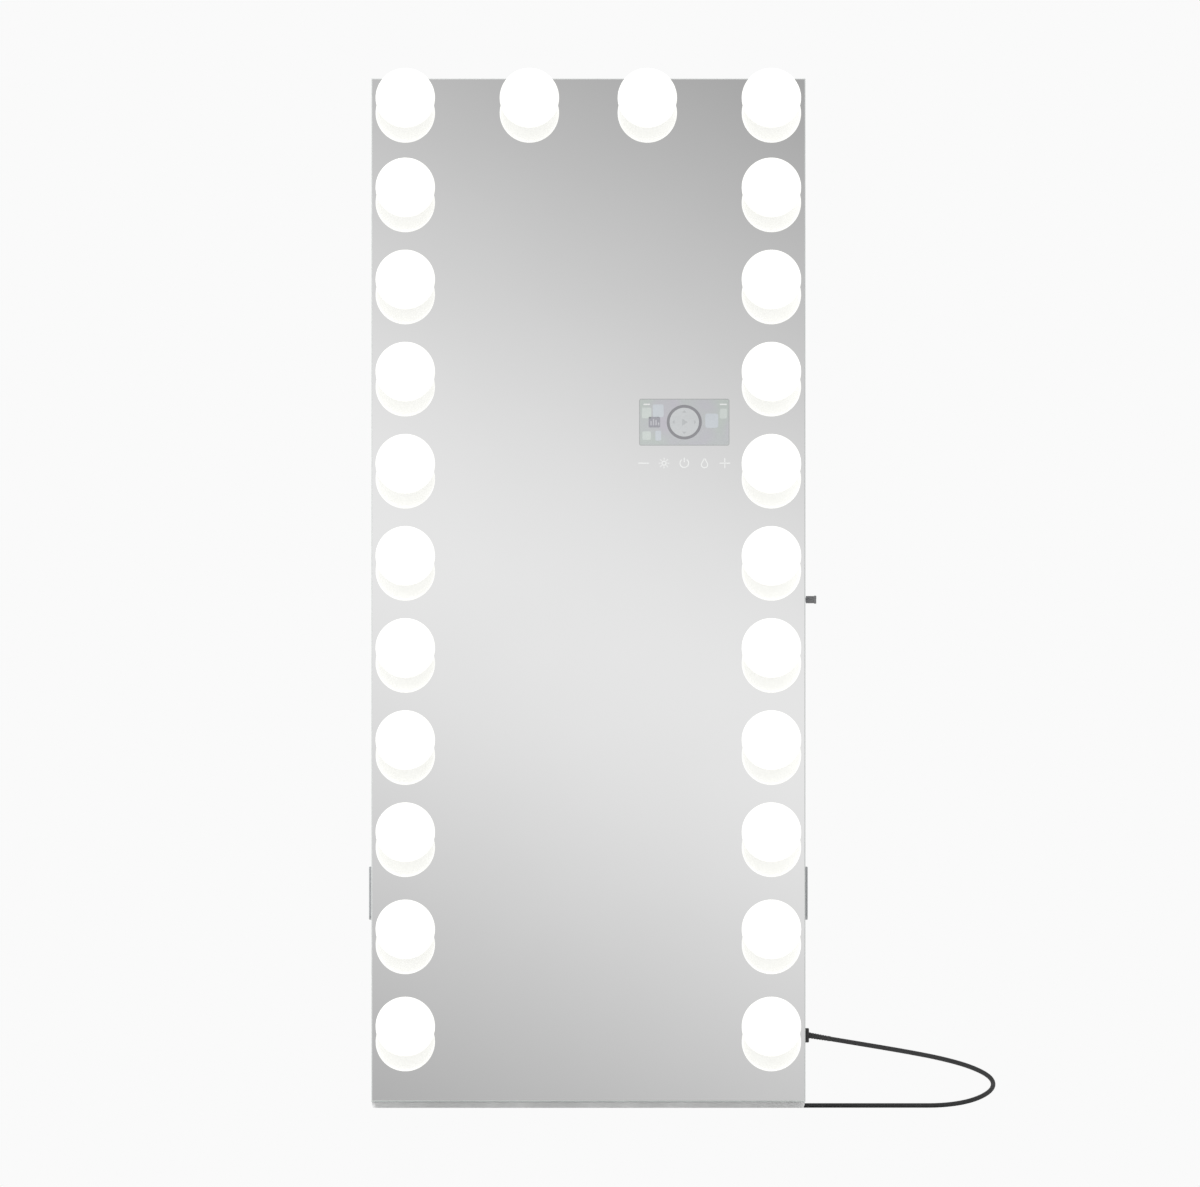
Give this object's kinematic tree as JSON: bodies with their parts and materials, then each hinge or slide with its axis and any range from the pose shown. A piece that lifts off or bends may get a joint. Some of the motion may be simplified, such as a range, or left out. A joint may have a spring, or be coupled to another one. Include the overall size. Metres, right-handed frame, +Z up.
{
  "type": "lighted vanity mirror",
  "caption": "Full-length frameless vanity mirror with frosted globe lamps round its edge, a touch display, a side dimmer and a folding stand that leans it back.",
  "frame": {"origin": "centre of the face on the floor of the rubber strip under the housing", "axes": "+X to the right of somebody who looks into the mirror, +Y behind the mirror, +Z up"},
  "size_m": [0.866, 0.4195, 1.437],
  "materials": {
    "mirror_silver": "polished, silvered behind 5 mm glass",
    "foam_tape": "closed-cell foam",
    "rail_aluminium": "satin anodised",
    "bracket_steel": "zinc plated",
    "cover_paint": "fine texture powder coat",
    "fastener_zinc": "zinc plated",
    "globe_frosted": "opal, lit",
    "lamp_white": "smooth",
    "cap_nickel": "nickel plated",
    "socket_ceramic": "unglazed",
    "collar_chrome": "polished",
    "driver_case": "smooth",
    "circuit_green": "solder resist",
    "display_face": "pale, behind a clear window",
    "wire_grey": "insulated leads",
    "grille_grey": "satin",
    "speaker_black": "matt",
    "shaft_aluminium": "turned",
    "knob_grey": "fine texture",
    "gland_black": "matt",
    "cord_black": "satin",
    "plug_black": "matt",
    "blade_nickel": "nickel plated",
    "stand_paint": "satin powder coat",
    "pivot_black": "glass-filled nylon",
    "foot_rubber": "matt",
    "strip_grey": "matt"
  },
  "bodies": {
    "mirror": {"mirror_glass": "mirror_silver", "glass_tape": "foam_tape", "frame_rail_left": "rail_aluminium", "frame_rail_right": "rail_aluminium", "frame_rail_top": "rail_aluminium", "frame_rail_bottom": "rail_aluminium", "frame_corner_brackets": "bracket_steel", "stand_cross_rail": "bracket_steel", "rear_cover": "cover_paint", "screws": "fastener_zinc", "stand_hinge_pins": "fastener_zinc", "bulb_left_01": "globe_frosted", "bulb_left_02": "globe_frosted", "bulb_left_03": "globe_frosted", "bulb_left_04": "globe_frosted", "bulb_left_05": "globe_frosted", "bulb_left_06": "globe_frosted", "bulb_left_07": "globe_frosted", "bulb_left_08": "globe_frosted", "bulb_left_09": "globe_frosted", "bulb_left_10": "globe_frosted", "bulb_left_11": "globe_frosted", "bulb_right_01": "globe_frosted", "bulb_right_02": "globe_frosted", "bulb_right_03": "globe_frosted", "bulb_right_04": "globe_frosted", "bulb_right_05": "globe_frosted", "bulb_right_06": "globe_frosted", "bulb_right_07": "globe_frosted", "bulb_right_08": "globe_frosted", "bulb_right_09": "globe_frosted", "bulb_right_10": "globe_frosted", "bulb_right_11": "globe_frosted", "bulb_top_1": "globe_frosted", "bulb_top_2": "globe_frosted", "bulb_necks": "lamp_white", "bulb_screw_caps": "cap_nickel", "socket_bodies": "socket_ceramic", "socket_collars": "collar_chrome", "led_driver": "driver_case", "control_board": "circuit_green", "display_module": "display_face", "wiring_harness": "wire_grey", "speaker_grilles": "grille_grey", "speaker_drivers": "speaker_black", "dimmer_switch": "speaker_black", "cable_gland": "gland_black", "mains_cord": "cord_black", "cord_coil": "cord_black", "plug_body": "plug_black", "plug_blades": "blade_nickel", "stand_hinge_brackets": "stand_paint", "foot_strip": "strip_grey"},
    "stand": {"stand_leg_left": "stand_paint", "stand_leg_right": "stand_paint", "stand_foot_bar": "stand_paint", "stand_pivot_blocks": "pivot_black", "stand_feet": "foot_rubber"},
    "knob": {"dimmer_knob": "knob_grey", "dimmer_shaft": "shaft_aluminium"}
  },
  "joints": [
    {"name": "stand_fold", "type": "hinge", "parent": "mirror", "child": "stand", "pos_m": [0, 0.18229, 0.80445], "axis": [1, 0, 0], "range_deg": [-20, 0]},
    {"name": "dimmer_turn", "type": "hinge", "parent": "mirror", "child": "knob", "pos_m": [0.308, 0.13087, 0.70239], "axis": [1, 0, 0], "range_deg": [0, 300]}
  ]
}
